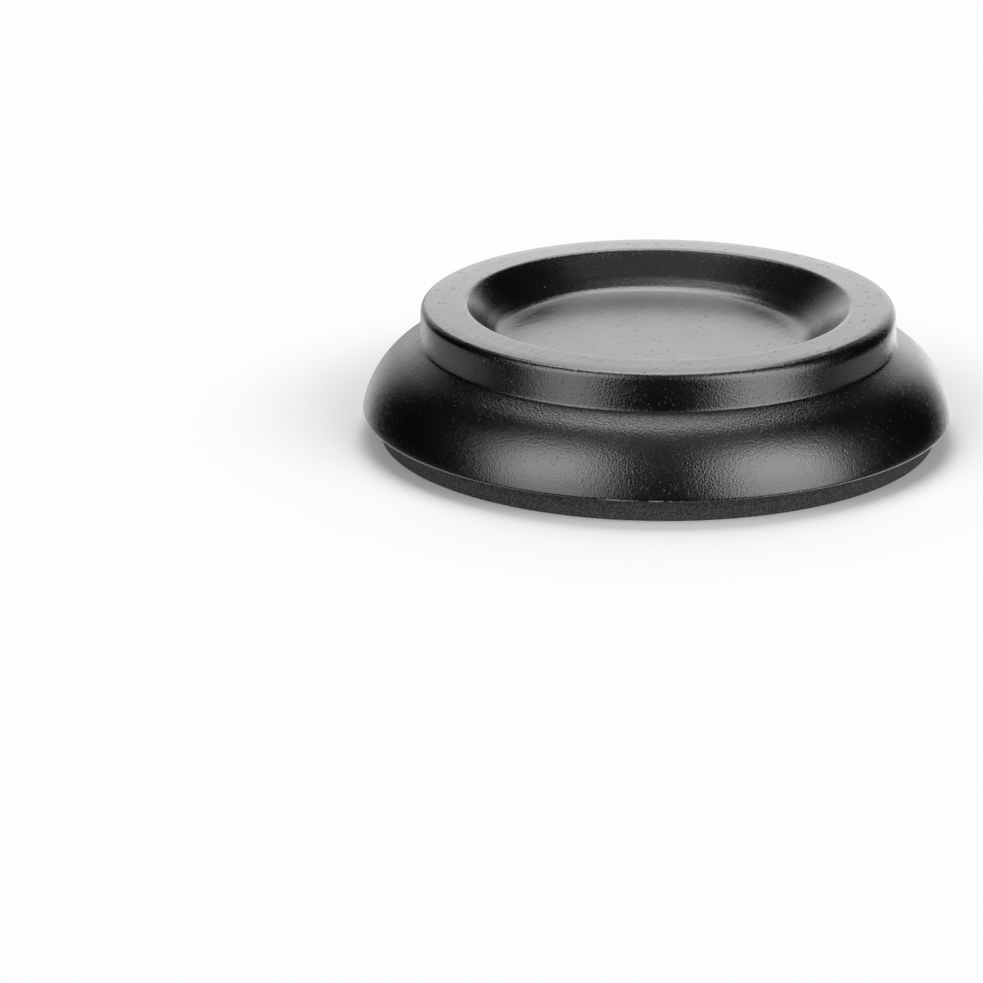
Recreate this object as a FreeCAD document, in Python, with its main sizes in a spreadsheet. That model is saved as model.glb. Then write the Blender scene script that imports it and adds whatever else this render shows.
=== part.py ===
"""A castor cup: a turned wooden cup with a foam pad glued under it.

Millimetres, +Z up. The origin is the centre of the pad's underside, and the cup is turned about Z.
"""
import FreeCAD, Part
import os

import Sketcher

# Driving dimensions: alias, size and what it measures. Heights run up from the plane they name.
SIZES = (
    ("outer_dia", 96.0, "widest diameter of the bead, just above its lower edge"),
    ("wood_height", 18.0, "underside of the wood to the top of the rim"),
    ("bead_height", 11.85, "underside of the wood to the foot of the collar"),
    ("shoulder_run", 2.8, "width of the straight shoulder between the collar and the bead's arc"),
    ("shoulder_drop", 1.65, "fall of the shoulder from the foot of the collar to the bead's arc"),
    ("collar_foot_dia", 77.4, "diameter of the collar where it meets the bead"),
    ("rim_dia", 77.0, "diameter of the collar at the rim"),
    ("rim_fall", 0.3, "drop of the rim from its mouth to its outer edge"),
    ("mouth_dia", 62.0, "diameter of the recess at the rim"),
    ("floor_dia", 50.2, "diameter of the recess floor, to the foot of its wall"),
    ("recess_depth", 5.7, "rim to recess floor"),
    ("edge_break", 0.4, "small chamfer that breaks the lower edge of the bead"),
    ("foot_fillet", 0.5, "fillet where the collar meets the bead"),
    ("rim_round", 1.6, "round on the outer edge of the rim"),
    ("lip_round", 0.6, "round on the mouth of the recess"),
    ("floor_fillet", 5.0, "fillet between the recess floor and its wall"),
    ("pad_dia", 90.4, "diameter of the foam pad"),
    ("pad_thickness", 4.0, "thickness of the foam pad"),
)

# Heights above the origin, as expressions over the sheet.
WOOD_BASE = "Sizes.pad_thickness"
BEAD_EDGE = f"{WOOD_BASE} + Sizes.edge_break"
COLLAR_FOOT = f"{WOOD_BASE} + Sizes.bead_height"
SHOULDER = f"{COLLAR_FOOT} - Sizes.shoulder_drop"
RIM_TOP = f"{WOOD_BASE} + Sizes.wood_height"
RIM_EDGE = f"{RIM_TOP} - Sizes.rim_fall"
RECESS_FLOOR = f"{RIM_TOP} - Sizes.recess_depth"

# Corners of the cup's half section, from the axis out along the base and back along the recess floor:
# name, distance from the axis, height and the size that rounds the corner.
CORNERS = (
    ("base_centre", None, WOOD_BASE, None),
    ("base_edge", "Sizes.outer_dia / 2 - Sizes.edge_break", WOOD_BASE, None),
    ("bead_edge", "Sizes.outer_dia / 2", BEAD_EDGE, None),
    ("shoulder", "Sizes.collar_foot_dia / 2 + Sizes.shoulder_run", SHOULDER, None),
    ("collar_foot", "Sizes.collar_foot_dia / 2", COLLAR_FOOT, "Sizes.foot_fillet"),
    ("rim_edge", "Sizes.rim_dia / 2", RIM_EDGE, "Sizes.rim_round"),
    ("mouth", "Sizes.mouth_dia / 2", RIM_TOP, "Sizes.lip_round"),
    ("floor_edge", "Sizes.floor_dia / 2", RECESS_FLOOR, "Sizes.floor_fillet"),
    ("floor_centre", None, RECESS_FLOOR, None),
)
# This corner's side is the bead's arc, which runs smoothly into the shoulder. The other sides are straight.
BEAD_SIDE = [corner[0] for corner in CORNERS].index("bead_edge")

SAME_PLACE = 1e-4


class At:
    """The numbers that a sketch gives to the points of a curve, to its origin and to its upright axis."""
    START, END, CENTRE = 1, 2, 3
    ORIGIN = (-1, 1)
    UPRIGHT = -2


def add_sheet(doc):
    """The spreadsheet that holds the driving dimensions."""
    sheet = doc.addObject("Spreadsheet::Sheet", "Sizes")
    for row, (alias, size, meaning) in enumerate(SIZES, start=1):
        sheet.set(f"A{row}", meaning)
        sheet.set(f"B{row}", str(size))
        sheet.setAlias(f"B{row}", alias)
    doc.recompute()
    return sheet


def value(sheet, expression):
    """An expression over the sheet as a number."""
    return float(sheet.evalExpression(expression.replace("Sizes.", "")))


def new_sketch(body, name, role):
    """A sketch on one of the body's own origin planes."""
    plane = next(item for item in body.Origin.OriginFeatures if item.Role == role)
    sketch = body.newObject("Sketcher::SketchObject", name)
    sketch.AttachmentSupport = [(plane, "")]
    sketch.MapMode = "FlatFace"
    return sketch


def bind(sketch, name, expression, constraint):
    """Add a constraint and drive it from the sheet."""
    index = sketch.addConstraint(constraint)
    sketch.renameConstraint(index, name)
    sketch.setExpression(f"Constraints.{name}", expression)


def bead_arc(edge, shoulder, foot):
    """The bead's section: an arc from its lower edge that meets the straight shoulder without a crease."""
    up = (foot - shoulder).normalize()
    outward = FreeCAD.Vector(up.y, -up.x, 0)
    chord = shoulder - edge
    radius = chord.Length ** 2 / (2 * outward.dot(chord))
    centre = shoulder - outward * radius
    middle = (edge + shoulder - centre * 2).normalize()
    return Part.Arc(edge, centre + middle * radius, shoulder)


def sharp_sides(points):
    """The sides of the section before its corners are rounded, each from one corner to the next."""
    sides = []
    for index, start in enumerate(points):
        end = points[(index + 1) % len(points)]
        if index == BEAD_SIDE:
            side = bead_arc(start, end, points[index + 2])
        else:
            side = Part.LineSegment(start, end)
        sides.append(side.toShape())
    return sides


def round_corner(before, after, corner, radius):
    """The arc that rounds a corner, and the two sides cut back to meet it."""
    tool = Part.ChFi2d.FilletAPI(before, after, Part.Plane())
    if not tool.perform(radius):
        raise RuntimeError(f"no arc of radius {radius} fits the corner at {corner}")
    return tool.result(corner)


def add_curve(sketch, edge):
    """Put one edge of the section into the sketch."""
    start, end = (vertex.Point for vertex in edge.Vertexes)
    if isinstance(edge.Curve, Part.Line):
        return sketch.addGeometry(Part.LineSegment(start, end))
    middle = edge.valueAt((edge.FirstParameter + edge.LastParameter) / 2)
    return sketch.addGeometry(Part.Arc(start, middle, end))


def join(sketch, first, second):
    """Hold two curves tangent where their ends touch."""
    for one in (At.START, At.END):
        for other in (At.START, At.END):
            gap = sketch.getPoint(first, one) - sketch.getPoint(second, other)
            if gap.Length < SAME_PLACE:
                sketch.addConstraint(Sketcher.Constraint("Tangent", first, one, second, other))
                return
    raise RuntimeError(f"curves {first} and {second} do not meet")


def draw_section(sketch, sheet):
    """Half the cup's section: straight sides, the bead's arc and an arc on every turned edge."""
    points = []
    for name, radius, height, size in CORNERS:
        out = value(sheet, radius) if radius else 0.0
        points.append(FreeCAD.Vector(out, value(sheet, height), 0))

    sides = sharp_sides(points)
    arcs = {}
    for index, (name, radius, height, size) in enumerate(CORNERS):
        if size:
            rounded = round_corner(sides[index - 1], sides[index], points[index], value(sheet, size))
            arcs[index], sides[index - 1], sides[index] = rounded
    for side in sides:
        add_curve(sketch, side)

    for index, (name, radius, height, size) in enumerate(CORNERS):
        before = (index - 1) % len(CORNERS)
        if size:
            arc = add_curve(sketch, arcs[index])
            join(sketch, before, arc)
            join(sketch, arc, index)
            bind(sketch, f"{name}_round", size, Sketcher.Constraint("Radius", arc, value(sheet, size)))
            corner = sketch.addGeometry(Part.Point(points[index]), True)
            sketch.addConstraint(Sketcher.Constraint("PointOnObject", corner, At.START, before))
            sketch.addConstraint(Sketcher.Constraint("PointOnObject", corner, At.START, index))
        else:
            corner = index
            if before == BEAD_SIDE:
                join(sketch, before, index)
            else:
                sketch.addConstraint(Sketcher.Constraint("Coincident", before, At.END, index, At.START))
        above = Sketcher.Constraint("DistanceY", *At.ORIGIN, corner, At.START, points[index].y)
        bind(sketch, f"{name}_height", height, above)
        if radius:
            out = Sketcher.Constraint("DistanceX", *At.ORIGIN, corner, At.START, points[index].x)
            bind(sketch, f"{name}_radius", radius, out)
        else:
            sketch.addConstraint(Sketcher.Constraint("PointOnObject", corner, At.START, At.UPRIGHT))


def make_cup(doc, sheet):
    """The turned cup: a bead below, a collar above it and a dished recess in the top."""
    body = doc.addObject("PartDesign::Body", "WoodenCup")
    body.Label = "wooden_cup"
    section = new_sketch(body, "CupSection", "XZ_Plane")
    draw_section(section, sheet)
    turning = body.newObject("PartDesign::Revolution", "Turning")
    turning.Profile = section
    turning.ReferenceAxis = (section, ["V_Axis"])
    turning.Angle = 360.0
    return body


def make_pad(doc, sheet):
    """The die-cut foam disc under the cup."""
    body = doc.addObject("PartDesign::Body", "FoamPad")
    body.Label = "foam_pad"
    outline = new_sketch(body, "PadOutline", "XY_Plane")
    radius = value(sheet, "Sizes.pad_dia / 2")
    outline.addGeometry(Part.Circle(FreeCAD.Vector(), FreeCAD.Vector(0, 0, 1), radius))
    outline.addConstraint(Sketcher.Constraint("Coincident", 0, At.CENTRE, *At.ORIGIN))
    bind(outline, "pad_radius", "Sizes.pad_dia / 2", Sketcher.Constraint("Radius", 0, radius))
    disc = body.newObject("PartDesign::Pad", "Disc")
    disc.Profile = outline
    disc.setExpression("Length", "Sizes.pad_thickness")
    return body


def check(doc, bodies):
    """Stop if anything failed to build, before a file is written."""
    for item in doc.Objects:
        if "Invalid" in item.State or "Error" in item.State:
            raise RuntimeError(f"{item.Name} failed: {item.State}")
    for body in bodies:
        if body.Shape.isNull() or not body.Shape.isValid() or len(body.Shape.Solids) != 1:
            raise RuntimeError(f"{body.Label} is not one sound solid")


def main():
    doc = FreeCAD.newDocument("CastorCup")
    sheet = add_sheet(doc)
    bodies = [make_cup(doc, sheet), make_pad(doc, sheet)]
    doc.recompute()
    check(doc, bodies)
    os.makedirs("parts", exist_ok=True)
    for body in bodies:
        body.Shape.exportStep(f"parts/{body.Label}.step")
        print(body.Label, round(body.Shape.Volume, 1), "mm3", body.Shape.optimalBoundingBox(False))


main()
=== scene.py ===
"""A castor cup: hardwood turned to a bead and a collar, in black satin lacquer, on a die-cut foam pad.

Metres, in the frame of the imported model: +Z is up the axis that the cup was turned about, and the
origin is the centre of the pad's underside. Values named in millimetres are turned to metres where
they are used.
"""
import math

import bpy
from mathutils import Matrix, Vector


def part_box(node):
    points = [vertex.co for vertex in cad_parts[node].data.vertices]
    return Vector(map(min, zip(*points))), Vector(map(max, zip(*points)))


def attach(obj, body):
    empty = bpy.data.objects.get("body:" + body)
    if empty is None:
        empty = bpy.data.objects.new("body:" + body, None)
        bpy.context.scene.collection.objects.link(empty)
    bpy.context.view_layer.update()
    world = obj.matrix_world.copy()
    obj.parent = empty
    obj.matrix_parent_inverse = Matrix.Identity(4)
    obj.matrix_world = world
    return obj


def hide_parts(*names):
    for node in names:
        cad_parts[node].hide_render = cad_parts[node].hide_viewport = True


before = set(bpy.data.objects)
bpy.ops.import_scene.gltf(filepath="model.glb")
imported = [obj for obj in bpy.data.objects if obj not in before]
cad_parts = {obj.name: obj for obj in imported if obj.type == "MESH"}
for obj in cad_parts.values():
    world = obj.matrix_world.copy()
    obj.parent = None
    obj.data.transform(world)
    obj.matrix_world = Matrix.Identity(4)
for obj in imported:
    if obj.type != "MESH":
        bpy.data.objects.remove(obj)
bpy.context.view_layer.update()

MM = 0.001

# The cup's turned section in millimetres: radii run out from the axis, and heights up from the floor.
CUP_LOW, CUP_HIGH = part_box("wooden_cup")
WOOD_BASE = CUP_LOW[2] / MM
WOOD_HEIGHT = 18.0

# The bead, its straight shoulder and the collar above it.
OUTER_R = CUP_HIGH[0] / MM
EDGE_BREAK = 0.4
BEAD_HEIGHT = 11.85
SHOULDER_RUN = 2.8
SHOULDER_DROP = 1.8
COLLAR_FOOT_R = 38.7
COLLAR_FOOT = WOOD_BASE + BEAD_HEIGHT
FOOT_FILLET = 0.5

# The rim falls a little towards the outside, and its margin eases down to a small round.
RIM_R = 38.5
RIM_TOP = WOOD_BASE + WOOD_HEIGHT
RIM_FALL = 0.14
RIM_EASE_IN = 2.5
RIM_EASE_DOWN = 0.18
RIM_CROWN_ROUND = 30.0
RIM_EDGE_ROUND = 1.1

# The rim's outer edge is sanded softer at the right of the front: the bearing from the front, how
# closely the sanding keeps to it, and the round there.
SOFT_BEARING = math.radians(55)
SOFT_FOCUS = 4
SOFT_ROUND = 2.1

# The recess has a rounded lip, a wall that bends on its way down and a floor that rises at its edge.
MOUTH_R = 31.2
LIP_ROUND = 1.0
WALL_BEND_R = 27.2
WALL_BEND_DEPTH = 3.8
WALL_BEND_ROUND = 10.0
RECESS_DEPTH = 5.7
RECESS_FLOOR = RIM_TOP - RECESS_DEPTH
FLOOR_EDGE_R = 25.2
FLOOR_EDGE_RISE = 0.3
FLOOR_FILLET = 3.2
FLOOR_RISE_R = 23.2
FLOOR_RISE_ROUND = 12.0

# The recess floor was cut this far along X from the cup's axis.
RECESS_OFFSET = -0.95

# The foam pad in millimetres.
PAD_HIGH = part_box("foam_pad")[1]
PAD_R = PAD_HIGH[0] / MM
PAD_TOP = PAD_HIGH[2] / MM
PAD_EDGE_ROUND = 0.25

# Spacing in millimetres of the points along a section, from hidden faces to small rounds.
HIDDEN_PITCH = 4.8
UNDERSIDE_PITCH = 2.4
FLOOR_PITCH = 1.2
FACE_PITCH = 0.55
PAD_EDGE_PITCH = 0.275
ROUND_PITCH = 0.16
FEWEST_ARC_STEPS = 3
CUP_STEPS_AROUND = 640
PAD_STEPS_AROUND = 840

# The unevenness of each piece: the width and depth of its waves in millimetres, and a seed.
CUP_RIPPLE_SIZE = 6.0
CUP_RIPPLE_DEPTH = 0.03
CUP_SEED = 3.0
PAD_RIPPLE_SIZE = 0.4
PAD_RIPPLE_DEPTH = 0.06
PAD_SEED = 8.0

# Direction of the wood's grain, turned from +X towards +Y.
GRAIN_ANGLE = math.radians(50)

# The camera that the photograph's ellipses give: its place, lens, sensor and nearest sight in
# millimetres, and its tilt down.
CAMERA_AT = (-27.03, -763.2, 250.62)
CAMERA_TILT = math.radians(18.89)
CAMERA_LENS = 179.82
CAMERA_SENSOR = 36.0
CAMERA_NEAREST = 10.0

# Lamps: degrees round from the camera's side and up, metres wide and high, and radiance.
LAMP_DISTANCE = 1.0
LAMPS = {
    "left_softbox": (-43.5, 13, 0.82, 1.65, 1.9),
    "left_crown": (-51, 38, 0.78, 0.97, 1.4),
    "right_softbox": (48, 13, 0.9, 1.65, 2.75),
    "right_crown": (51, 38, 0.78, 0.97, 1.0),
    "back_panel": (180, 15.5, 0.78, 0.58, 0.78),
    "top_softbox": (180, 67.5, 0.8, 0.66, 4.0),
    "top_tail": (176, 43, 0.32, 0.44, 2.5),
}

# The floor: half its width in metres, its paint, and the white that the camera sees all round.
FLOOR_HALF = 3.0
FLOOR_PAINT = "eeeeee"
PLAIN_WHITE = "fdfdfd"


def srgb(code):
    """A six-digit sRGB hex colour as linear RGBA."""
    channels = [int(code[start:start + 2], 16) / 255 for start in (0, 2, 4)]
    linear = [c / 12.92 if c <= 0.04045 else ((c + 0.055) / 1.055) ** 2.4 for c in channels]
    return (*linear, 1.0)


def add(tree, kind, inputs=None, **settings):
    """Add a node. Settings are its properties, and each input is a value or the output that feeds it."""
    made = tree.nodes.new(kind)
    for name, setting in settings.items():
        setattr(made, name, setting)
    for key, feed in (inputs or {}).items():
        if isinstance(feed, bpy.types.NodeSocket):
            tree.links.new(feed, made.inputs[key])
        else:
            made.inputs[key].default_value = feed
    return made


# Sections

def run(start, end, pitch):
    """Points along a straight stretch, from its start up to but not at its end."""
    steps = max(1, math.ceil((end - start).length / pitch))
    return [start.lerp(end, step / steps) for step in range(steps)]


def arc(centre, start, end, pitch=ROUND_PITCH):
    """Points along the shorter arc about a centre, from its start up to but not at its end."""
    first, last = start - centre, end - centre
    across = Vector((-first.y, first.x))
    sweep = math.atan2(first.x * last.y - first.y * last.x, first.dot(last))
    steps = max(FEWEST_ARC_STEPS, math.ceil(abs(sweep) * first.length / pitch))
    points = []
    for step in range(steps):
        angle = sweep * step / steps
        points.append(centre + first * math.cos(angle) + across * math.sin(angle))
    return points


def corner_round(before, corner, after, radius):
    """Where an arc that rounds a corner between straight stretches starts and ends, and its centre."""
    back, on = (before - corner).normalized(), (after - corner).normalized()
    half = back.angle(on) / 2
    reach = radius / math.tan(half)
    centre = corner + (back + on).normalized() * radius / math.sin(half)
    return corner + back * reach, corner + on * reach, centre


def bead_circle(edge, shoulder, foot):
    """Centre and radius of the bead's arc, which runs smoothly into the straight shoulder above it."""
    up = (foot - shoulder).normalized()
    outward = Vector((up.y, -up.x))
    chord = shoulder - edge
    radius = chord.length_squared / (2 * outward.dot(chord))
    return shoulder - outward * radius, radius


def rim_corner():
    """The collar's foot, the rim's outer edge and the crown of its margin, before they are rounded."""
    foot = Vector((COLLAR_FOOT_R, COLLAR_FOOT))
    edge = Vector((RIM_R, RIM_TOP - RIM_FALL - RIM_EASE_DOWN))
    crown = Vector((RIM_R - RIM_EASE_IN, RIM_TOP - RIM_FALL))
    return foot, edge, crown


def cup_section():
    """Half the cup's section: out along the base, up the outside and back along the recess floor."""
    base_centre = Vector((0, WOOD_BASE))
    bead_edge = Vector((OUTER_R, WOOD_BASE + EDGE_BREAK))
    shoulder = Vector((COLLAR_FOOT_R + SHOULDER_RUN, COLLAR_FOOT - SHOULDER_DROP))
    foot, rim_edge, rim_crown = rim_corner()
    mouth = Vector((MOUTH_R, RIM_TOP))
    wall_bend = Vector((WALL_BEND_R, RIM_TOP - WALL_BEND_DEPTH))
    floor_edge = Vector((FLOOR_EDGE_R, RECESS_FLOOR + FLOOR_EDGE_RISE))
    floor_rise = Vector((FLOOR_RISE_R, RECESS_FLOOR))
    floor_centre = Vector((0, RECESS_FLOOR))
    bead, bead_radius = bead_circle(bead_edge, shoulder, foot)

    # The round on the lower edge lies inside the bead's circle and on the base.
    edge_height = WOOD_BASE + EDGE_BREAK
    edge_reach = math.sqrt((bead_radius - EDGE_BREAK) ** 2 - (edge_height - bead.y) ** 2)
    edge = Vector((bead.x + edge_reach, edge_height))
    edge_start = Vector((edge.x, WOOD_BASE))
    edge_end = bead + (edge - bead).normalized() * bead_radius

    foot_start, foot_end, fillet = corner_round(shoulder, foot, rim_edge, FOOT_FILLET)
    rim_start, rim_end, rim = corner_round(foot, rim_edge, rim_crown, RIM_EDGE_ROUND)
    crown_start, crown_end, crown = corner_round(rim_edge, rim_crown, mouth, RIM_CROWN_ROUND)
    lip_start, lip_end, lip = corner_round(rim_crown, mouth, wall_bend, LIP_ROUND)
    wall_start, wall_end, wall = corner_round(mouth, wall_bend, floor_edge, WALL_BEND_ROUND)
    dish_start, dish_end, dish = corner_round(wall_bend, floor_edge, floor_rise, FLOOR_FILLET)
    rise_start, rise_end, rise = corner_round(floor_edge, floor_rise, floor_centre, FLOOR_RISE_ROUND)
    return [
        *run(base_centre, edge_start, HIDDEN_PITCH),
        *arc(edge, edge_start, edge_end),
        *arc(bead, edge_end, shoulder, FACE_PITCH),
        *run(shoulder, foot_start, FACE_PITCH),
        *arc(fillet, foot_start, foot_end),
        *run(foot_end, rim_start, FACE_PITCH),
        *arc(rim, rim_start, rim_end),
        *run(rim_end, crown_start, FACE_PITCH),
        *arc(crown, crown_start, crown_end),
        *run(crown_end, lip_start, FACE_PITCH),
        *arc(lip, lip_start, lip_end),
        *run(lip_end, wall_start, FACE_PITCH),
        *arc(wall, wall_start, wall_end, FACE_PITCH),
        *run(wall_end, dish_start, FACE_PITCH),
        *arc(dish, dish_start, dish_end),
        *run(dish_end, rise_start, FACE_PITCH),
        *arc(rise, rise_start, rise_end, FACE_PITCH),
        *run(rise_end, floor_centre, FLOOR_PITCH),
        floor_centre,
    ]


def pad_section():
    """Half the pad's section: a flat disc whose die-cut edge is a little rounded above and below."""
    base_centre, top_centre = Vector((0, 0)), Vector((0, PAD_TOP))
    low, high = Vector((PAD_R, 0)), Vector((PAD_R, PAD_TOP))
    low_start, low_end, low_round = corner_round(base_centre, low, high, PAD_EDGE_ROUND)
    high_start, high_end, high_round = corner_round(low, high, top_centre, PAD_EDGE_ROUND)
    return [
        *run(base_centre, low_start, UNDERSIDE_PITCH),
        *arc(low_round, low_start, low_end),
        *run(low_end, high_start, PAD_EDGE_PITCH),
        *arc(high_round, high_start, high_end),
        *run(high_end, top_centre, HIDDEN_PITCH),
        top_centre,
    ]


# Turning

def turning_tree():
    """Geometry nodes that turn a section about Z and sink a fine ripple into its surface."""
    ring_radius = 50 * MM
    same_place = 0.002 * MM
    ripple_detail = 2.0

    tree = bpy.data.node_groups.new("turn_section", "GeometryNodeTree")
    sockets = (
        ("Section", "NodeSocketObject"),
        ("Steps Around", "NodeSocketInt"),
        ("Ripple Size", "NodeSocketFloat"),
        ("Ripple Depth", "NodeSocketFloat"),
        ("Seed", "NodeSocketFloat"),
        ("Material", "NodeSocketMaterial"),
    )
    for name, kind in sockets:
        tree.interface.new_socket(name, in_out="INPUT", socket_type=kind)
    tree.interface.new_socket("Geometry", in_out="OUTPUT", socket_type="NodeSocketGeometry")
    given = add(tree, "NodeGroupInput").outputs

    # A profile swept round a ring hangs below it, so the section is turned over and moved in by the
    # ring's radius.
    section = add(tree, "GeometryNodeObjectInfo", {
        "Object": given["Section"],
    }, transform_space="ORIGINAL")
    hung = add(tree, "GeometryNodeTransform", {
        "Geometry": section.outputs["Geometry"],
        "Translation": (-ring_radius, 0, 0),
        "Scale": (1, -1, 1),
    })
    ring = add(tree, "GeometryNodeCurvePrimitiveCircle", {
        "Resolution": given["Steps Around"],
        "Radius": ring_radius,
    })
    turned = add(tree, "GeometryNodeCurveToMesh", {
        "Curve": ring.outputs["Curve"],
        "Profile Curve": hung.outputs["Geometry"],
    })
    closed = add(tree, "GeometryNodeMergeByDistance", {
        "Geometry": turned.outputs["Mesh"],
        "Distance": same_place,
    })
    outward = add(tree, "GeometryNodeFlipFaces", {"Mesh": closed.outputs["Geometry"]})

    fineness = add(tree, "ShaderNodeMath", {0: 1.0, 1: given["Ripple Size"]}, operation="DIVIDE")
    noise = add(tree, "ShaderNodeTexNoise", {
        "W": given["Seed"],
        "Scale": fineness.outputs["Value"],
        "Detail": ripple_detail,
    }, noise_dimensions="4D")
    depth = add(tree, "ShaderNodeMath", {
        0: noise.outputs["Fac"],
        1: given["Ripple Depth"],
    }, operation="MULTIPLY")
    sunk = add(tree, "ShaderNodeMath", {0: depth.outputs["Value"], 1: -1.0}, operation="MULTIPLY")
    inward = add(tree, "ShaderNodeVectorMath", {
        0: add(tree, "GeometryNodeInputNormal").outputs["Normal"],
        "Scale": sunk.outputs["Value"],
    }, operation="SCALE")
    rippled = add(tree, "GeometryNodeSetPosition", {
        "Geometry": outward.outputs["Mesh"],
        "Offset": inward.outputs["Vector"],
    })
    smooth = add(tree, "GeometryNodeSetShadeSmooth", {"Geometry": rippled.outputs["Geometry"]})
    real = add(tree, "GeometryNodeRealizeInstances", {"Geometry": smooth.outputs["Geometry"]})
    dressed = add(tree, "GeometryNodeSetMaterial", {
        "Geometry": real.outputs["Geometry"],
        "Material": given["Material"],
    })
    add(tree, "NodeGroupOutput", {"Geometry": dressed.outputs["Geometry"]})
    return tree


def turn(name, tree, section, **inputs):
    """Turn one section into a closed piece, as a plain mesh at the origin."""
    line = bpy.data.curves.new(f"{name}_section", "CURVE")
    line.dimensions = "3D"
    spline = line.splines.new("POLY")
    spline.points.add(len(section) - 1)
    for point, place in zip(spline.points, section):
        point.co = (place.x * MM, place.y * MM, 0, 1)
    guide = bpy.data.objects.new(f"{name}_section", line)
    bpy.context.collection.objects.link(guide)

    blank = bpy.data.objects.new(f"{name}_blank", bpy.data.meshes.new(f"{name}_blank"))
    bpy.context.collection.objects.link(blank)
    modifier = blank.modifiers.new("Turning", "NODES")
    modifier.node_group = tree
    sockets = [item for item in tree.interface.items_tree if item.in_out == "INPUT"]
    identifiers = {item.name: item.identifier for item in sockets}
    modifier[identifiers["Section"]] = guide
    for label, setting in inputs.items():
        modifier[identifiers[label.replace("_", " ").title()]] = setting
    evaluated = blank.evaluated_get(bpy.context.evaluated_depsgraph_get())
    mesh = bpy.data.meshes.new_from_object(evaluated)
    mesh.name = name
    piece = bpy.data.objects.new(name, mesh)
    bpy.context.collection.objects.link(piece)
    bpy.data.objects.remove(blank)
    bpy.data.objects.remove(guide)
    bpy.data.curves.remove(line)
    return piece


def shift_recess(piece):
    """Lean the recess to one side: its mouth is true to the rim, and its floor is off the cup's axis."""
    above_base = (WOOD_BASE + RECESS_FLOOR) / 2 * MM
    for vertex in piece.data.vertices:
        if vertex.co.z > above_base:
            share = (MOUTH_R * MM - vertex.co.xy.length) / ((MOUTH_R - FLOOR_EDGE_R) * MM)
            vertex.co.x += RECESS_OFFSET * MM * min(1.0, max(0.0, share))


def soften_rim(piece):
    """Sand the rim's outer edge to a larger round on one side."""
    foot, edge, crown = rim_corner()
    collar_middle = (COLLAR_FOOT + RIM_TOP) / 2
    for vertex in piece.data.vertices:
        place = Vector((vertex.co.xy.length, vertex.co.z)) / MM
        if place.x > RIM_R - RIM_EASE_IN and place.y > collar_middle:
            bearing = math.atan2(vertex.co.x, -vertex.co.y)
            nearness = max(0.0, math.cos(bearing - SOFT_BEARING)) ** SOFT_FOCUS
            radius = RIM_EDGE_ROUND + (SOFT_ROUND - RIM_EDGE_ROUND) * nearness
            centre = corner_round(foot, edge, crown, radius)[2]
            out = place - centre
            if out.x > 0 and out.y > 0 and out.length > radius:
                kept = centre + out.normalized() * radius
                vertex.co.x *= kept.x / place.x
                vertex.co.y *= kept.x / place.x
                vertex.co.z = kept.y * MM


# Finishes

def new_material(name):
    """A material whose node tree is empty, and that tree."""
    material = bpy.data.materials.new(name)
    material.use_nodes = True
    material.node_tree.nodes.clear()
    return material, material.node_tree


def peel_and_streaks(tree, place, flat, calm):
    """Height in millimetres of the lacquer's orange peel, and of the grain's streaks on flat faces."""
    peel_size = 0.31 * MM
    peel_depth = 0.056
    peel_on_flats = 0.13
    streak_size = (9 * MM, 1.2 * MM, 1.2 * MM)
    streak_depth = 0.03
    detail = 2.0

    peel = add(tree, "ShaderNodeTexNoise", {"Vector": place, "Scale": 1 / peel_size, "Detail": detail})
    peel_share = add(tree, "ShaderNodeMapRange", {
        "Value": flat,
        "To Min": peel_depth,
        "To Max": peel_depth * peel_on_flats,
    })
    calmed = add(tree, "ShaderNodeMath", {
        0: peel_share.outputs["Result"],
        1: calm,
    }, operation="MULTIPLY")
    peeled = add(tree, "ShaderNodeMath", {
        0: peel.outputs["Fac"],
        1: calmed.outputs["Value"],
    }, operation="MULTIPLY")

    grain = add(tree, "ShaderNodeMapping", {
        "Vector": place,
        "Rotation": (0, 0, GRAIN_ANGLE),
        "Scale": streak_size,
    }, vector_type="TEXTURE")
    streaks = add(tree, "ShaderNodeTexNoise", {
        "Vector": grain.outputs["Vector"],
        "Scale": 1.0,
        "Detail": detail,
    })
    streak = add(tree, "ShaderNodeMath", {0: streaks.outputs["Fac"], 1: flat}, operation="MULTIPLY")
    height = add(tree, "ShaderNodeMath", {
        0: streak.outputs["Value"],
        1: streak_depth,
        2: peeled.outputs["Value"],
    }, operation="MULTIPLY_ADD")
    return height.outputs["Value"]


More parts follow.
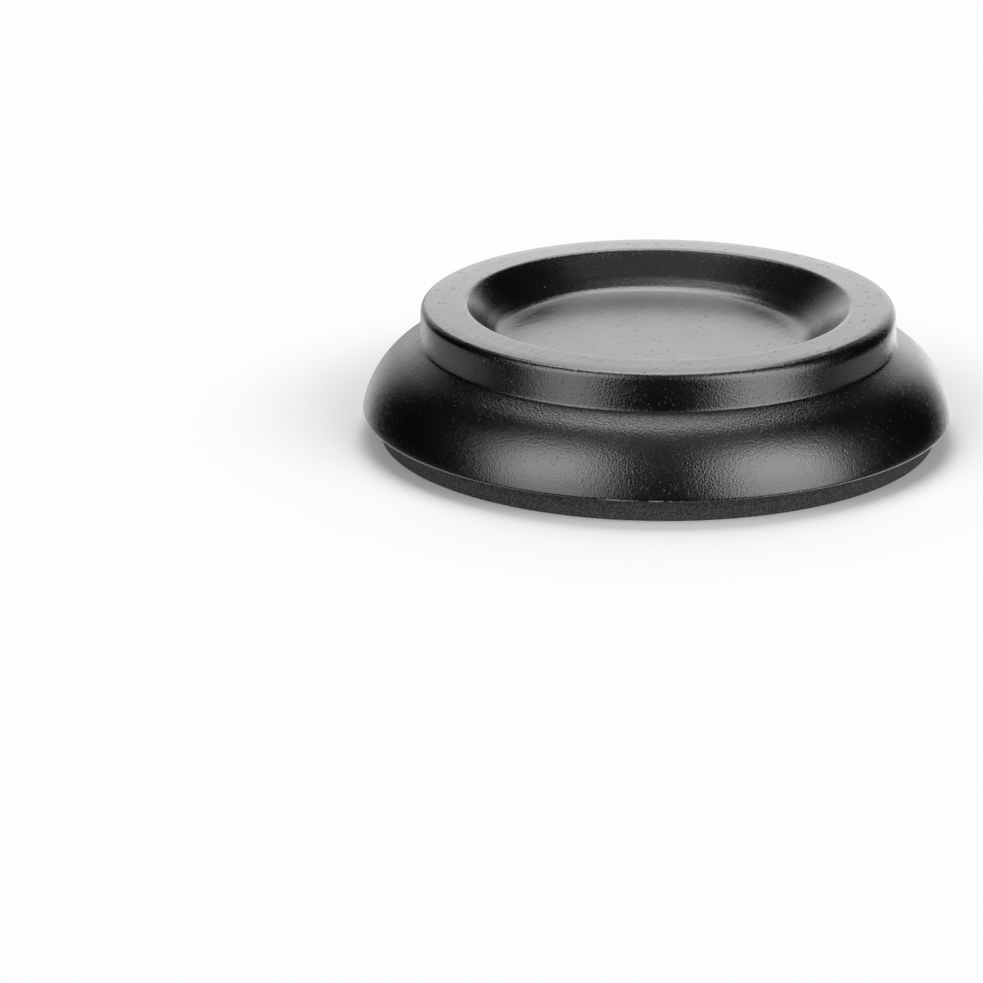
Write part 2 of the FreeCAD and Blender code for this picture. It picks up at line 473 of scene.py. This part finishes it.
def open_pores(tree, place, flat, turned, calm, height):
    """Sink the wood's open pores into a height. Gives the new height, and where the pores are.

    They come in clusters: dashes along the grain on flat faces, and upright pits on turned ones.
    """
    cluster_size = 9 * MM
    cluster_detail = 1.0
    cluster_edge, cluster_heart = 0.36, 0.64
    dash_size = (2.6 * MM, 0.38 * MM, 0.38 * MM)
    dash_share = 0.36
    dash_depth = 0.03
    pit_size = (0.42 * MM, 0.42 * MM, 0.9 * MM)
    pit_lean = math.radians(12)
    pit_share = 0.42
    pit_depth = 0.01
    pore_bottom, pore_edge = 0.12, 0.3

    clusters = add(tree, "ShaderNodeTexNoise", {
        "Vector": place,
        "Scale": 1 / cluster_size,
        "Detail": cluster_detail,
    })
    crowding = add(tree, "ShaderNodeMapRange", {
        "Value": clusters.outputs["Fac"],
        "From Min": cluster_edge,
        "From Max": cluster_heart,
    })
    pores = []
    kinds = (
        ((0, 0, GRAIN_ANGLE), dash_size, dash_share, dash_depth, flat),
        ((0, pit_lean, 0), pit_size, pit_share, pit_depth, turned),
    )
    for leaning, size, share, depth, where in kinds:
        stretched = add(tree, "ShaderNodeMapping", {
            "Vector": place,
            "Rotation": leaning,
            "Scale": size,
        }, vector_type="TEXTURE")
        cells = add(tree, "ShaderNodeTexVoronoi", {"Vector": stretched.outputs["Vector"], "Scale": 1.0})
        hollow = add(tree, "ShaderNodeMapRange", {
            "Value": cells.outputs["Distance"],
            "From Min": pore_bottom,
            "From Max": pore_edge,
            "To Min": 1.0,
            "To Max": 0.0,
        }, interpolation_type="SMOOTHSTEP")
        chance = add(tree, "ShaderNodeSeparateColor", {"Color": cells.outputs["Color"]})
        limit = add(tree, "ShaderNodeMath", {
            0: crowding.outputs["Result"],
            1: share,
        }, operation="MULTIPLY")
        is_open = add(tree, "ShaderNodeMath", {
            0: chance.outputs["Red"],
            1: limit.outputs["Value"],
        }, operation="LESS_THAN")
        sunk = add(tree, "ShaderNodeMath", {
            0: hollow.outputs["Result"],
            1: is_open.outputs["Value"],
        }, operation="MULTIPLY")
        there = add(tree, "ShaderNodeMath", {0: where, 1: calm}, operation="MULTIPLY")
        shown = add(tree, "ShaderNodeMath", {
            0: sunk.outputs["Value"],
            1: there.outputs["Value"],
        }, operation="MULTIPLY")
        pores.append(shown.outputs["Value"])
        lowered = add(tree, "ShaderNodeMath", {
            0: shown.outputs["Value"],
            1: -depth,
            2: height,
        }, operation="MULTIPLY_ADD")
        height = lowered.outputs["Value"]
    pore = add(tree, "ShaderNodeMath", {0: pores[0], 1: pores[1]}, operation="MAXIMUM")
    return height, pore.outputs["Value"]


def caught_dust(tree, place, turned):
    """How pale the specks of dust are that the wet lacquer caught on turned faces."""
    spacing = 2.6 * MM
    share = 0.22
    core, edge = 0.035, 0.06
    paleness = 0.55

    specks = add(tree, "ShaderNodeTexVoronoi", {"Vector": place, "Scale": 1 / spacing})
    speck = add(tree, "ShaderNodeMapRange", {
        "Value": specks.outputs["Distance"],
        "From Min": core,
        "From Max": edge,
        "To Min": paleness,
        "To Max": 0.0,
    })
    chance = add(tree, "ShaderNodeSeparateColor", {"Color": specks.outputs["Color"]})
    caught = add(tree, "ShaderNodeMath", {0: chance.outputs["Red"], 1: share}, operation="LESS_THAN")
    dusty = add(tree, "ShaderNodeMath", {0: caught.outputs["Value"], 1: turned}, operation="MULTIPLY")
    dust = add(tree, "ShaderNodeMath", {
        0: speck.outputs["Result"],
        1: dusty.outputs["Value"],
    }, operation="MULTIPLY")
    return dust.outputs["Value"]


def painted_edge_highlight(tree, place, facing_up):
    """The painted highlight: a pale line along the bead's lower edge at the front, broken up in places.
    """
    base = WOOD_BASE * MM
    height = 0.4 * MM
    front = -10 * MM
    underside, side = -0.9, -0.4
    left, left_fade = -9 * MM, 2 * MM
    right, right_fade = -1 * MM, 8 * MM
    break_size = 1.8 * MM
    line_broken, line_whole = 0.45, 0.6

    at = add(tree, "ShaderNodeSeparateXYZ", {"Vector": place}).outputs
    breaks = add(tree, "ShaderNodeTexNoise", {"Vector": place, "Scale": 1 / break_size})

    # Each limit of the painted highlight: what it follows, where it is nothing and where it is full.
    limits = (
        (at["Z"], base + height, base + height / 2),
        (at["Y"], 0.0, front),
        (facing_up, underside, side),
        (at["X"], left - left_fade, left),
        (at["X"], right + right_fade, right),
        (breaks.outputs["Fac"], line_broken, line_whole),
    )
    edge_highlight = 1.0
    for value, nothing, full in limits:
        limit = add(tree, "ShaderNodeMapRange", {
            "Value": value,
            "From Min": nothing,
            "From Max": full,
        })
        both = add(tree, "ShaderNodeMath", {0: edge_highlight, 1: limit.outputs["Result"]}, operation="MULTIPLY")
        edge_highlight = both.outputs["Value"]
    return edge_highlight


def black_satin_lacquer():
    """Hardwood sprayed with black satin lacquer: a soft sheen over a fine orange peel.

    The wood still shows through it, as dashes and faint streaks along the grain on flat faces and as
    small pits on turned ones. Specks of dust are caught in the finish, and a pale line is painted along
    the bead's lower edge at the front as a highlight where that edge catches the light.
    """
    black, greyer_black, pale_grey = srgb("050505"), srgb("080808"), srgb("8c8c8a")
    smoothest, dullest, pore_dulling = 0.18, 0.26, 0.2
    lacquer_ior = 1.8
    patch_size = 7 * MM
    patch_detail = 3.0
    flat_from, flat_full = 0.9, 0.98
    recess_reach, recess_blend, recess_calm = 36 * MM, 2 * MM, 0.5

    material, tree = new_material("black_satin_lacquer")
    place = add(tree, "ShaderNodeTexCoord").outputs["Object"]
    normal = add(tree, "ShaderNodeNewGeometry").outputs["Normal"]
    facing_up = add(tree, "ShaderNodeSeparateXYZ", {"Vector": normal}).outputs["Z"]

    # A face counts as flat by how far its normal points up, and as turned by the rest.
    flat = add(tree, "ShaderNodeMapRange", {
        "Value": facing_up,
        "From Min": flat_from,
        "From Max": flat_full,
    }, interpolation_type="SMOOTHSTEP").outputs["Result"]
    turned = add(tree, "ShaderNodeMath", {0: 1.0, 1: flat}, operation="SUBTRACT").outputs["Value"]

    # The recess is smoother than the outside.
    off_centre = add(tree, "ShaderNodeVectorMath", {0: place}, operation="LENGTH")
    calm = add(tree, "ShaderNodeMapRange", {
        "Value": off_centre.outputs["Value"],
        "From Min": recess_reach,
        "From Max": recess_reach + recess_blend,
        "To Min": recess_calm,
        "To Max": 1.0,
    }).outputs["Result"]

    # Heights are in millimetres.
    height = peel_and_streaks(tree, place, flat, calm)
    height, pore = open_pores(tree, place, flat, turned, calm, height)
    skin = add(tree, "ShaderNodeBump", {"Height": height, "Distance": MM, "Strength": 1.0})
    # Specks of dust, and the painted highlight on the bead's lower front edge, both turn the black pale
    # grey.
    pale = add(tree, "ShaderNodeMath", {
        0: caught_dust(tree, place, turned),
        1: painted_edge_highlight(tree, place, facing_up),
    }, operation="MAXIMUM")

    # The black and its sheen vary in soft patches, and the pores are duller.
    patches = add(tree, "ShaderNodeTexNoise", {
        "Vector": place,
        "Scale": 1 / patch_size,
        "Detail": patch_detail,
    })
    sheen = add(tree, "ShaderNodeMapRange", {
        "Value": patches.outputs["Fac"],
        "To Min": smoothest,
        "To Max": dullest,
    })
    dulled = add(tree, "ShaderNodeMath", {
        0: pore,
        1: pore_dulling,
        2: sheen.outputs["Result"],
    }, operation="MULTIPLY_ADD")
    tone = add(tree, "ShaderNodeMix", {
        "Factor": patches.outputs["Fac"],
        "A": black,
        "B": greyer_black,
    }, data_type="RGBA")
    dust_and_highlight = add(tree, "ShaderNodeMix", {
        "Factor": pale.outputs["Value"],
        "A": tone.outputs["Result"],
        "B": pale_grey,
    }, data_type="RGBA")
    lacquer = add(tree, "ShaderNodeBsdfPrincipled", {
        "Base Color": dust_and_highlight.outputs["Result"],
        "Roughness": dulled.outputs["Value"],
        "IOR": lacquer_ior,
        "Normal": skin.outputs["Normal"],
    })
    add(tree, "ShaderNodeOutputMaterial", {"Surface": lacquer.outputs["BSDF"]})
    return material


def closed_cell_foam():
    """Black closed-cell foam cut with a die: matt, with a fine grain of cut cells."""
    cell_size, cell_depth = 0.3 * MM, 0.1 * MM
    grit_size = cell_size / 2
    grit_detail = 2.0
    hollow, wall_top = 0.08, 0.36
    shaded_black, cut_grey = srgb("060607"), srgb("404042")
    foam_roughness = 0.9
    foam_ior = 1.45

    material, tree = new_material("closed_cell_foam")
    place = add(tree, "ShaderNodeTexCoord").outputs["Object"]
    cells = add(tree, "ShaderNodeTexVoronoi", {"Vector": place, "Scale": 1 / cell_size})
    grit = add(tree, "ShaderNodeTexNoise", {
        "Vector": place,
        "Scale": 1 / grit_size,
        "Detail": grit_detail,
    })
    wall = add(tree, "ShaderNodeMath", {
        0: cells.outputs["Distance"],
        1: grit.outputs["Fac"],
    }, operation="MULTIPLY")
    tone = add(tree, "ShaderNodeMapRange", {
        "Value": wall.outputs["Value"],
        "From Min": hollow,
        "From Max": wall_top,
    })
    colour = add(tree, "ShaderNodeMix", {
        "Factor": tone.outputs["Result"],
        "A": shaded_black,
        "B": cut_grey,
    }, data_type="RGBA")
    bump = add(tree, "ShaderNodeBump", {
        "Height": wall.outputs["Value"],
        "Distance": cell_depth,
        "Strength": 1.0,
    })
    foam = add(tree, "ShaderNodeBsdfPrincipled", {
        "Base Color": colour.outputs["Result"],
        "Roughness": foam_roughness,
        "IOR": foam_ior,
        "Normal": bump.outputs["Normal"],
    })
    add(tree, "ShaderNodeOutputMaterial", {"Surface": foam.outputs["BSDF"]})
    return material


# Stage

def pale_floor():
    """A pale floor that takes the cup's shadow nearby and runs out to plain white for the camera."""
    shadow_reach, white_from = 52 * MM, 82 * MM
    mesh = bpy.data.meshes.new("pale_floor")
    corners = [(x * FLOOR_HALF, y * FLOOR_HALF, 0) for x, y in ((-1, -1), (1, -1), (1, 1), (-1, 1))]
    mesh.from_pydata(corners, [], [(0, 1, 2, 3)])
    floor = bpy.data.objects.new("pale_floor", mesh)
    bpy.context.collection.objects.link(floor)

    material, tree = new_material("pale_floor")
    place = add(tree, "ShaderNodeTexCoord").outputs["Object"]
    away = add(tree, "ShaderNodeVectorMath", {0: place}, operation="LENGTH")
    fade = add(tree, "ShaderNodeMapRange", {
        "Value": away.outputs["Value"],
        "From Min": shadow_reach,
        "From Max": white_from,
    }, interpolation_type="SMOOTHSTEP")
    rays = add(tree, "ShaderNodeLightPath")
    plain = add(tree, "ShaderNodeMath", {
        0: fade.outputs["Result"],
        1: rays.outputs["Is Camera Ray"],
    }, operation="MULTIPLY")
    paint = add(tree, "ShaderNodeBsdfDiffuse", {"Color": srgb(FLOOR_PAINT)})
    white = add(tree, "ShaderNodeEmission", {"Color": srgb(PLAIN_WHITE), "Strength": 1.0})
    lit = add(tree, "ShaderNodeMixShader", {
        0: plain.outputs["Value"],
        1: paint.outputs["BSDF"],
        2: white.outputs["Emission"],
    })

    # From below, the floor is clear.
    below = add(tree, "ShaderNodeNewGeometry").outputs["Backfacing"]
    clear = add(tree, "ShaderNodeBsdfTransparent")
    shown = add(tree, "ShaderNodeMixShader", {
        0: below,
        1: lit.outputs["Shader"],
        2: clear.outputs["BSDF"],
    })
    add(tree, "ShaderNodeOutputMaterial", {"Surface": shown.outputs["Shader"]})
    mesh.materials.append(material)
    floor.visible_glossy = False
    floor.visible_shadow = False


def sine(degrees):
    """How far up a direction points that rises by so many degrees."""
    return math.sin(math.radians(degrees))


def studio():
    """White all round for the camera. The cup mirrors a white sheet behind it and little light elsewhere.

    The sheet is brightest low down on both sides and dimmer on the left. The table shows beside and
    behind the cup.
    """
    fill_light, ceiling_light, table_light = 0.05, 0.3, 0.62
    sheet_low, sheet_high, wing_light, left_share = 0.5, 1.2, 1.85, 0.55
    world = bpy.data.worlds.new("studio")
    bpy.context.scene.world = world
    world.use_nodes = True
    tree = world.node_tree
    tree.nodes.clear()
    direction = add(tree, "ShaderNodeSeparateXYZ", {
        "Vector": add(tree, "ShaderNodeTexCoord").outputs["Generated"],
    })
    right, away, up = direction.outputs
    across = add(tree, "ShaderNodeMath", {0: right}, operation="ABSOLUTE").outputs["Value"]

    # Ramps over the direction of a ray: what each follows, where it is nothing and where it is full.
    ramps = {
        "risen": (up, sine(-3), sine(6)),
        "low": (up, sine(16), sine(-10)),
        "beside": (across, 0.08, 0.35),
        "inside": (across, 0.545, 0.475),
        "rightward": (right, -0.3, -0.05),
        "under_top": (up, sine(31), sine(21)),
        "behind": (away, 0.0, 0.2),
        "overhead": (up, sine(58), sine(80)),
        "downward": (up, sine(-8), sine(-18)),
        "past_cup": (away, -0.2, 0.3),
    }
    level = {}
    for name, (value, nothing, full) in ramps.items():
        ramp = add(tree, "ShaderNodeMapRange", {
            "Value": value,
            "From Min": nothing,
            "From Max": full,
        }, interpolation_type="SMOOTHSTEP")
        level[name] = ramp.outputs["Result"]

    # What the ramps make together: each result, the sum it comes from and what goes into that.
    sums = (
        ("wing", "MULTIPLY", "beside", "low"),
        ("rise", "MULTIPLY_ADD", "risen", sheet_high - sheet_low, sheet_low),
        ("glow", "MULTIPLY_ADD", "wing", wing_light, "rise"),
        ("side", "MULTIPLY_ADD", "rightward", 1 - left_share, left_share),
        ("width", "MULTIPLY", "inside", "side"),
        ("height", "MULTIPLY", "under_top", "behind"),
        ("shape", "MULTIPLY", "width", "height"),
        ("sheet", "MULTIPLY", "shape", "glow"),
        ("ceiling", "MULTIPLY", "overhead", ceiling_light),
        ("table_edge", "MULTIPLY", "downward", "past_cup"),
        ("table", "MULTIPLY", "table_edge", table_light),
        ("upper", "MAXIMUM", "sheet", "ceiling"),
        ("mirrored", "MAXIMUM", "upper", "table"),
    )
    for name, operation, *feeds in sums:
        inputs = {index: level.get(feed, feed) for index, feed in enumerate(feeds)}
        level[name] = add(tree, "ShaderNodeMath", inputs, operation=operation).outputs["Value"]

    rays = add(tree, "ShaderNodeLightPath").outputs
    lit = add(tree, "ShaderNodeMix", {
        "Factor": rays["Is Glossy Ray"],
        "A": fill_light,
        "B": level["mirrored"],
    })
    seen = add(tree, "ShaderNodeMath", {
        0: rays["Is Camera Ray"],
        1: rays["Is Transmission Ray"],
    }, operation="MAXIMUM")
    strength = add(tree, "ShaderNodeMath", {
        0: lit.outputs["Result"],
        1: seen.outputs["Value"],
    }, operation="MAXIMUM")
    white = add(tree, "ShaderNodeBackground", {
        "Color": srgb(PLAIN_WHITE),
        "Strength": strength.outputs["Value"],
    })
    add(tree, "ShaderNodeOutputWorld", {"Surface": white.outputs["Background"]})


def softbox(name, azimuth, elevation, width, height, radiance):
    """A soft lamp aimed at the cup: degrees round from the camera's side and up, and metres across."""
    bearing, rise = math.radians(azimuth), math.radians(elevation)
    level = math.cos(rise)
    away = Vector((math.sin(bearing) * level, -math.cos(bearing) * level, math.sin(rise)))
    lamp = bpy.data.lights.new(name, "AREA")
    lamp.shape = "ELLIPSE"
    lamp.size = width
    lamp.size_y = height
    lamp.energy = radiance * math.pi * (math.pi * width * height / 4)
    box = bpy.data.objects.new(name, lamp)
    box.location = away * LAMP_DISTANCE
    box.rotation_euler = away.to_track_quat("Z", "Y").to_euler()
    box.visible_camera = False
    bpy.context.collection.objects.link(box)


def camera():
    """The camera at the photograph's viewing angle."""
    lens = bpy.data.cameras.new("camera")
    lens.lens = CAMERA_LENS
    lens.sensor_width = CAMERA_SENSOR
    lens.clip_start = CAMERA_NEAREST * MM
    eye = bpy.data.objects.new("camera", lens)
    eye.location = Vector(CAMERA_AT) * MM
    eye.rotation_euler = (math.pi / 2 - CAMERA_TILT, 0, 0)
    bpy.context.collection.objects.link(eye)
    bpy.context.scene.camera = eye


# The pieces and their setting

tree = turning_tree()
cup = turn(
    "turned_cup", tree, cup_section(),
    steps_around=CUP_STEPS_AROUND,
    ripple_size=CUP_RIPPLE_SIZE * MM,
    ripple_depth=CUP_RIPPLE_DEPTH * MM,
    seed=CUP_SEED,
    material=black_satin_lacquer(),
)
shift_recess(cup)
soften_rim(cup)
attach(cup, "root")
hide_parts("wooden_cup")

pad = turn(
    "die_cut_pad", tree, pad_section(),
    steps_around=PAD_STEPS_AROUND,
    ripple_size=PAD_RIPPLE_SIZE * MM,
    ripple_depth=PAD_RIPPLE_DEPTH * MM,
    seed=PAD_SEED,
    material=closed_cell_foam(),
)
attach(pad, "root")
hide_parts("foam_pad")

pale_floor()
studio()
for name, setting in LAMPS.items():
    softbox(name, *setting)
camera()
bpy.context.scene.view_settings.view_transform = "Standard"
